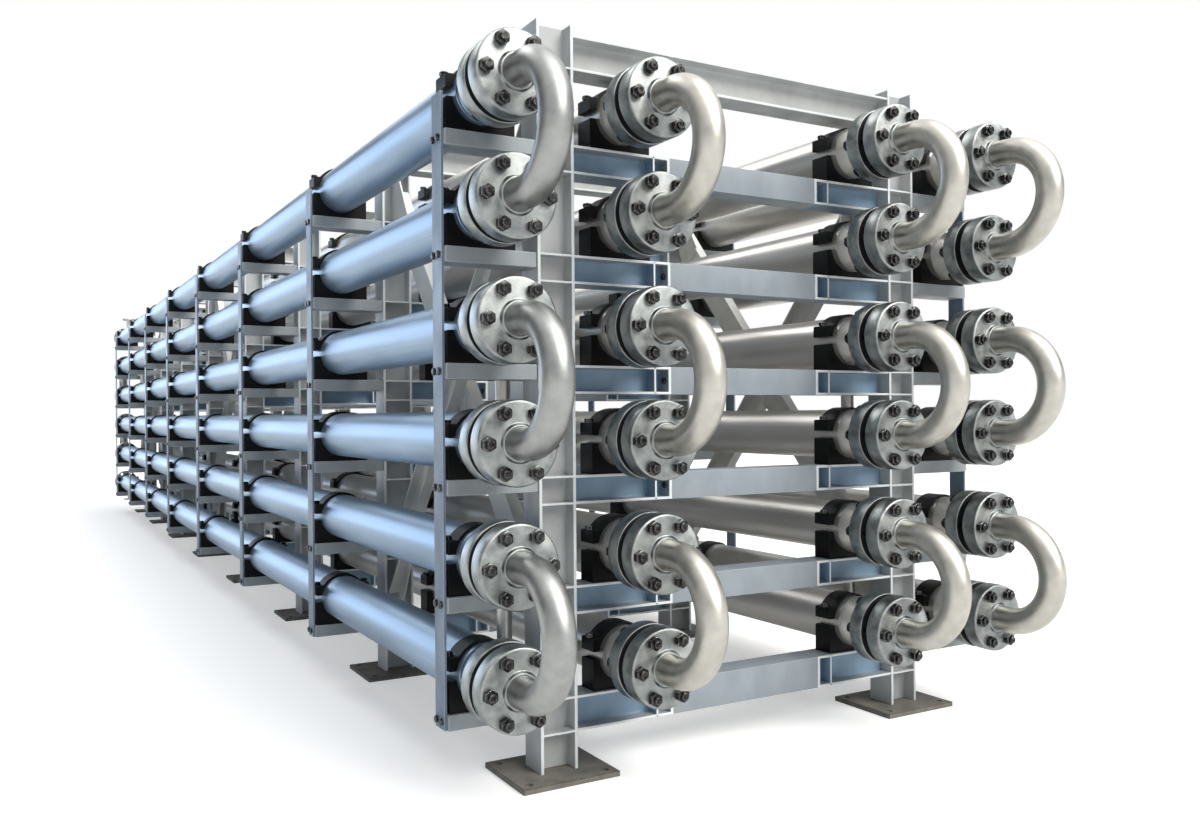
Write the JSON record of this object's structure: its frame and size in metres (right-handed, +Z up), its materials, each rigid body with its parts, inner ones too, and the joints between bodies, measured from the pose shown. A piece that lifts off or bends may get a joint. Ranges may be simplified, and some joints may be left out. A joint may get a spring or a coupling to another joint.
{
  "type": "tubular heat exchanger",
  "caption": "Tubular heat exchanger: a rack of straight double-pipe elements held by clamps in steel portal frames and joined at their ends by flanged return bends.",
  "frame": {"origin": "on the floor in the middle of the rack", "axes": "+Z up, +Y along the tubes away from the near end that the picture shows, +X to the right seen from there"},
  "size_m": [2.722, 14.2042, 2.85],
  "materials": {
    "shell_steel": "satin, drawn",
    "bend_steel": "satin, pickled",
    "flange_steel": "turned, satin",
    "black_steel": "matte black oxide",
    "frame_paint": "semi-gloss light grey paint",
    "arm_paint": "semi-gloss light grey paint",
    "plate_paint": "worn grey paint"
  },
  "bodies": {
    "root": {"base_plates": "plate_paint", "braces": "frame_paint", "clamp_bolts": "black_steel", "cross_beams": "arm_paint", "far_bend_c1_r23": "bend_steel", "far_bend_c1_r45": "bend_steel", "far_bend_c2_r23": "bend_steel", "far_bend_c2_r45": "bend_steel", "far_bend_c3_r23": "bend_steel", "far_bend_c3_r45": "bend_steel", "far_bend_c4_r23": "bend_steel", "far_bend_c4_r45": "bend_steel", "flange_nuts": "black_steel", "flange_studs": "black_steel", "frame_bolts": "frame_paint", "inner_tubes": "shell_steel", "lens_rings": "black_steel", "lower_clamps": "black_steel", "near_bend_c1_r12": "bend_steel", "near_bend_c1_r34": "bend_steel", "near_bend_c1_r56": "bend_steel", "near_bend_c2_r12": "bend_steel", "near_bend_c2_r34": "bend_steel", "near_bend_c2_r56": "bend_steel", "near_bend_c3_r12": "bend_steel", "near_bend_c3_r34": "bend_steel", "near_bend_c3_r56": "bend_steel", "near_bend_c4_r12": "bend_steel", "near_bend_c4_r34": "bend_steel", "near_bend_c4_r56": "bend_steel", "outer_uprights": "frame_paint", "pipe_flanges": "flange_steel", "posts": "frame_paint", "product_flanges": "flange_steel", "shell_c1_r1": "shell_steel", "shell_c1_r2": "shell_steel", "shell_c1_r3": "shell_steel", "shell_c1_r4": "shell_steel", "shell_c1_r5": "shell_steel", "shell_c1_r6": "shell_steel", "shell_c2_r1": "shell_steel", "shell_c2_r2": "shell_steel", "shell_c2_r3": "shell_steel", "shell_c2_r4": "shell_steel", "shell_c2_r5": "shell_steel", "shell_c2_r6": "shell_steel", "shell_c3_r1": "shell_steel", "shell_c3_r2": "shell_steel", "shell_c3_r3": "shell_steel", "shell_c3_r4": "shell_steel", "shell_c3_r5": "shell_steel", "shell_c3_r6": "shell_steel", "shell_c4_r1": "shell_steel", "shell_c4_r2": "shell_steel", "shell_c4_r3": "shell_steel", "shell_c4_r4": "shell_steel", "shell_c4_r5": "shell_steel", "shell_c4_r6": "shell_steel", "shell_pipes": "shell_steel", "upper_clamps": "black_steel"}
  },
  "joints": []
}
